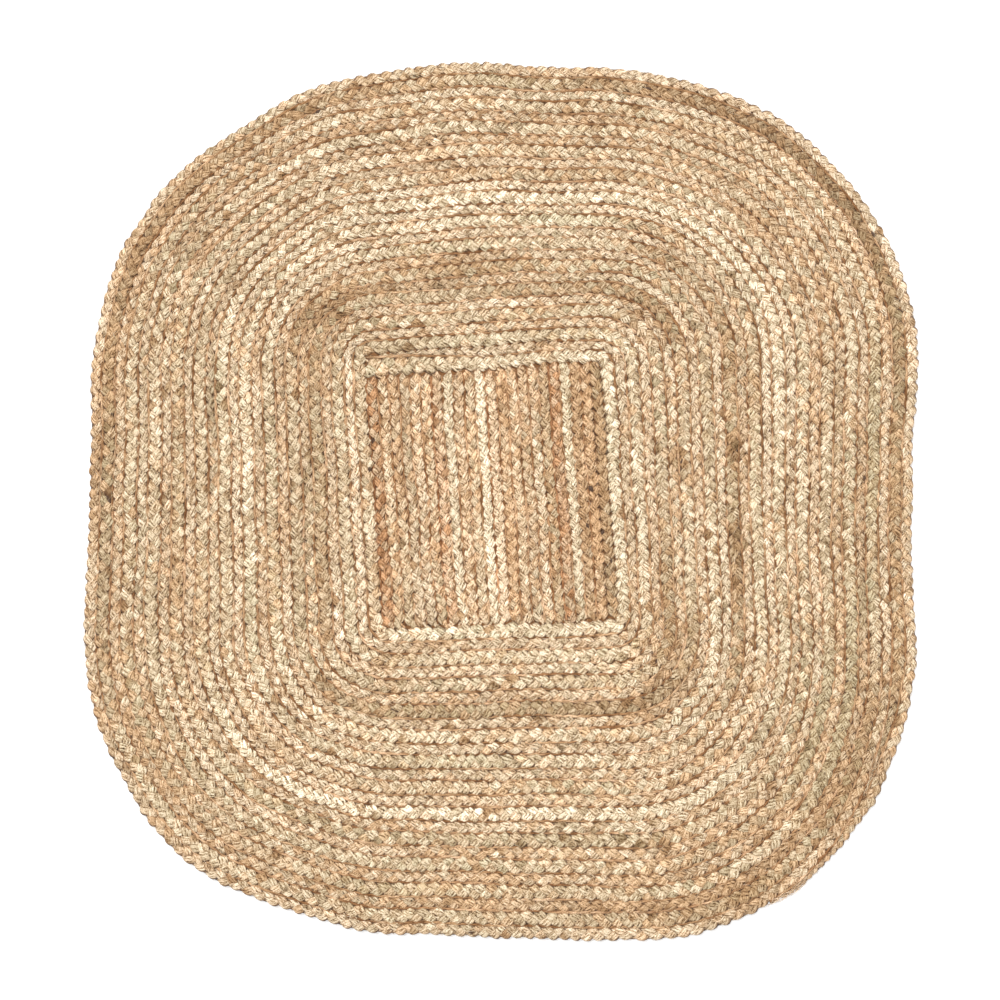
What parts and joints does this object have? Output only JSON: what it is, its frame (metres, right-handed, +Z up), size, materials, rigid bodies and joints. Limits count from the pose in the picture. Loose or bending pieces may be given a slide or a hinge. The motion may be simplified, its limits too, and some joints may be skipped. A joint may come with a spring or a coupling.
{
  "type": "braided jute rug",
  "caption": "Flat rounded-square floor rug of braided jute: straight braids laid side by side in the middle, with braids wound round them and sewn edge to edge.",
  "frame": {"origin": "middle of the outline's box, on the underside", "axes": "+Z up out of the floor, +Y along the centre's straight braids towards the back edge, +X to the right"},
  "size_m": [0.8746, 0.9213, 0.009],
  "materials": {
    "jute_pale": "pale straw jute, dry, matt with a faint sheen",
    "jute_straw": "straw jute, dry and matt",
    "jute_tan": "warm tan jute, dry and matt",
    "jute_rust": "orange brown jute, dry and matt"
  },
  "bodies": {
    "root": {"centre_braid_01": "jute_rust", "centre_braid_02": "jute_straw", "centre_braid_03": "jute_straw", "centre_braid_04": "jute_tan", "centre_braid_05": "jute_tan", "centre_braid_06": "jute_straw", "centre_braid_07": "jute_rust", "centre_braid_08": "jute_pale", "centre_braid_09": "jute_tan", "centre_braid_10": "jute_straw", "centre_braid_11": "jute_pale", "centre_braid_12": "jute_rust", "centre_braid_13": "jute_straw", "centre_braid_14": "jute_straw", "centre_braid_15": "jute_tan", "centre_braid_16": "jute_tan", "centre_braid_17": "jute_straw", "centre_braid_18": "jute_rust", "centre_braid_19": "jute_pale", "centre_braid_20": "jute_tan", "centre_braid_21": "jute_straw", "centre_braid_22": "jute_pale", "wound_braid_pale": "jute_pale", "wound_braid_tan": "jute_tan"}
  },
  "joints": []
}
